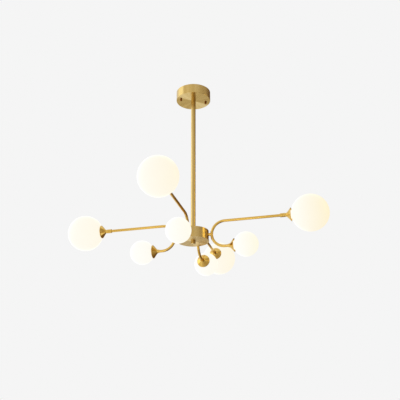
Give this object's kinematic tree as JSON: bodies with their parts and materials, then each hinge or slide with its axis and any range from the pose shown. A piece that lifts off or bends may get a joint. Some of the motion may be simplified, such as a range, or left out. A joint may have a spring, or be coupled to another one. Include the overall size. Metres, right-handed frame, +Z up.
{
  "type": "branch chandelier",
  "caption": "Ceiling chandelier: round canopy, straight stem and drum hub carrying C-shaped tube arms, each with a large globe on its long upper leg and a small one below.",
  "frame": {"origin": "centre of the ceiling plane, in the middle of the bracket's top face and the canopy's rim", "axes": "+Z up, away from the part; the arms lie along +X (right), +Y (back), -X (left) and -Y (front)"},
  "size_m": [0.887, 0.887, 0.628],
  "materials": {
    "brushed_brass": "satin, brushed lines",
    "spun_brass": "semi-gloss, spun rings",
    "turned_brass": "semi-gloss, turned",
    "drawn_brass": "semi-gloss, drawn tube",
    "blacked_steel": "blacked, oiled",
    "zinc_steel": "zinc plated",
    "white_plastic": "matte",
    "cable_jacket": "matte",
    "lead_insulation": "matte",
    "lampholder_ceramic": "unglazed",
    "silicone": "matte, translucent",
    "bulb_capsule": "frosted",
    "opal_glass": "glossy opal"
  },
  "bodies": {
    "root": {"ceiling_bracket": "blacked_steel", "canopy": "brushed_brass", "terminal_block": "white_plastic", "supply_cable": "cable_jacket", "stem": "brushed_brass", "stem_nipple": "zinc_steel", "centre_pipe": "zinc_steel", "pipe_nuts": "zinc_steel", "hub_body": "brushed_brass", "hub_cover": "brushed_brass", "hub_finial": "turned_brass", "hub_terminal_ring": "white_plastic"},
    "right_arm": {"right_arm_tube": "drawn_brass", "right_arm_stud": "turned_brass", "right_stud_nut": "zinc_steel", "right_sleeve": "turned_brass", "right_cups": "spun_brass", "right_lampholders": "lampholder_ceramic", "right_lamp_leads": "lead_insulation", "right_bulbs": "bulb_capsule"},
    "right_large_gasket": {"right_gasket_large": "silicone"},
    "right_large_globe": {"right_globe_large": "opal_glass"},
    "right_small_gasket": {"right_gasket_small": "silicone"},
    "right_small_globe": {"right_globe_small": "opal_glass"},
    "back_arm": {"back_arm_tube": "drawn_brass", "back_arm_stud": "turned_brass", "back_stud_nut": "zinc_steel", "back_sleeve": "turned_brass", "back_cups": "spun_brass", "back_lampholders": "lampholder_ceramic", "back_lamp_leads": "lead_insulation", "back_bulbs": "bulb_capsule"},
    "back_large_gasket": {"back_gasket_large": "silicone"},
    "back_large_globe": {"back_globe_large": "opal_glass"},
    "back_small_gasket": {"back_gasket_small": "silicone"},
    "back_small_globe": {"back_globe_small": "opal_glass"},
    "left_arm": {"left_arm_tube": "drawn_brass", "left_arm_stud": "turned_brass", "left_stud_nut": "zinc_steel", "left_sleeve": "turned_brass", "left_cups": "spun_brass", "left_lampholders": "lampholder_ceramic", "left_lamp_leads": "lead_insulation", "left_bulbs": "bulb_capsule"},
    "left_large_gasket": {"left_gasket_large": "silicone"},
    "left_large_globe": {"left_globe_large": "opal_glass"},
    "left_small_gasket": {"left_gasket_small": "silicone"},
    "left_small_globe": {"left_globe_small": "opal_glass"},
    "front_arm": {"front_arm_tube": "drawn_brass", "front_arm_stud": "turned_brass", "front_stud_nut": "zinc_steel", "front_sleeve": "turned_brass", "front_cups": "spun_brass", "front_lampholders": "lampholder_ceramic", "front_lamp_leads": "lead_insulation", "front_bulbs": "bulb_capsule"},
    "front_large_gasket": {"front_gasket_large": "silicone"},
    "front_large_globe": {"front_globe_large": "opal_glass"},
    "front_small_gasket": {"front_gasket_small": "silicone"},
    "front_small_globe": {"front_globe_small": "opal_glass"}
  },
  "joints": [
    {"name": "right_arm_swivel", "type": "hinge", "parent": "root", "child": "right_arm", "pos_m": [0.0625, 0, -0.5445], "axis": [1, 0, 0], "range_deg": [-90, 90]},
    {"name": "right_large_globe_twist", "type": "hinge", "parent": "right_arm", "child": "right_large_gasket", "pos_m": [0.3235, 0, -0.501], "axis": [1, 0, 0], "range_deg": [0, 720]},
    {"name": "right_large_globe_lift", "type": "slide", "parent": "right_large_gasket", "child": "right_large_globe", "axis": [1, 0, 0], "range_m": [0, 0.006]},
    {"name": "right_small_globe_twist", "type": "hinge", "parent": "right_arm", "child": "right_small_gasket", "pos_m": [0.137, 0, -0.588], "axis": [1, 0, 0], "range_deg": [0, 720]},
    {"name": "right_small_globe_lift", "type": "slide", "parent": "right_small_gasket", "child": "right_small_globe", "axis": [1, 0, 0], "range_m": [0, 0.006]},
    {"name": "back_arm_swivel", "type": "hinge", "parent": "root", "child": "back_arm", "pos_m": [0, 0.0625, -0.5445], "axis": [0, 1, 0], "range_deg": [-90, 90]},
    {"name": "back_large_globe_twist", "type": "hinge", "parent": "back_arm", "child": "back_large_gasket", "pos_m": [0, 0.3235, -0.501], "axis": [0, 1, 0], "range_deg": [0, 720]},
    {"name": "back_large_globe_lift", "type": "slide", "parent": "back_large_gasket", "child": "back_large_globe", "axis": [0, 1, 0], "range_m": [0, 0.006]},
    {"name": "back_small_globe_twist", "type": "hinge", "parent": "back_arm", "child": "back_small_gasket", "pos_m": [0, 0.137, -0.588], "axis": [0, 1, 0], "range_deg": [0, 720]},
    {"name": "back_small_globe_lift", "type": "slide", "parent": "back_small_gasket", "child": "back_small_globe", "axis": [0, 1, 0], "range_m": [0, 0.006]},
    {"name": "left_arm_swivel", "type": "hinge", "parent": "root", "child": "left_arm", "pos_m": [-0.0625, 0, -0.5445], "axis": [-1, 0, 0], "range_deg": [-90, 90]},
    {"name": "left_large_globe_twist", "type": "hinge", "parent": "left_arm", "child": "left_large_gasket", "pos_m": [-0.3235, 0, -0.501], "axis": [-1, 0, 0], "range_deg": [0, 720]},
    {"name": "left_large_globe_lift", "type": "slide", "parent": "left_large_gasket", "child": "left_large_globe", "axis": [-1, 0, 0], "range_m": [0, 0.006]},
    {"name": "left_small_globe_twist", "type": "hinge", "parent": "left_arm", "child": "left_small_gasket", "pos_m": [-0.137, 0, -0.588], "axis": [-1, 0, 0], "range_deg": [0, 720]},
    {"name": "left_small_globe_lift", "type": "slide", "parent": "left_small_gasket", "child": "left_small_globe", "axis": [-1, 0, 0], "range_m": [0, 0.006]},
    {"name": "front_arm_swivel", "type": "hinge", "parent": "root", "child": "front_arm", "pos_m": [0, -0.0625, -0.5445], "axis": [0, -1, 0], "range_deg": [-90, 90]},
    {"name": "front_large_globe_twist", "type": "hinge", "parent": "front_arm", "child": "front_large_gasket", "pos_m": [0, -0.3235, -0.501], "axis": [0, -1, 0], "range_deg": [0, 720]},
    {"name": "front_large_globe_lift", "type": "slide", "parent": "front_large_gasket", "child": "front_large_globe", "axis": [0, -1, 0], "range_m": [0, 0.006]},
    {"name": "front_small_globe_twist", "type": "hinge", "parent": "front_arm", "child": "front_small_gasket", "pos_m": [0, -0.137, -0.588], "axis": [0, -1, 0], "range_deg": [0, 720]},
    {"name": "front_small_globe_lift", "type": "slide", "parent": "front_small_gasket", "child": "front_small_globe", "axis": [0, -1, 0], "range_m": [0, 0.006]}
  ],
  "couplings": [
    {"joint": "right_large_globe_lift", "follows": "right_large_globe_twist", "m_per_rad": 0.00047746},
    {"joint": "right_small_globe_lift", "follows": "right_small_globe_twist", "m_per_rad": 0.00047746},
    {"joint": "back_large_globe_lift", "follows": "back_large_globe_twist", "m_per_rad": 0.00047746},
    {"joint": "back_small_globe_lift", "follows": "back_small_globe_twist", "m_per_rad": 0.00047746},
    {"joint": "left_large_globe_lift", "follows": "left_large_globe_twist", "m_per_rad": 0.00047746},
    {"joint": "left_small_globe_lift", "follows": "left_small_globe_twist", "m_per_rad": 0.00047746},
    {"joint": "front_large_globe_lift", "follows": "front_large_globe_twist", "m_per_rad": 0.00047746},
    {"joint": "front_small_globe_lift", "follows": "front_small_globe_twist", "m_per_rad": 0.00047746}
  ]
}
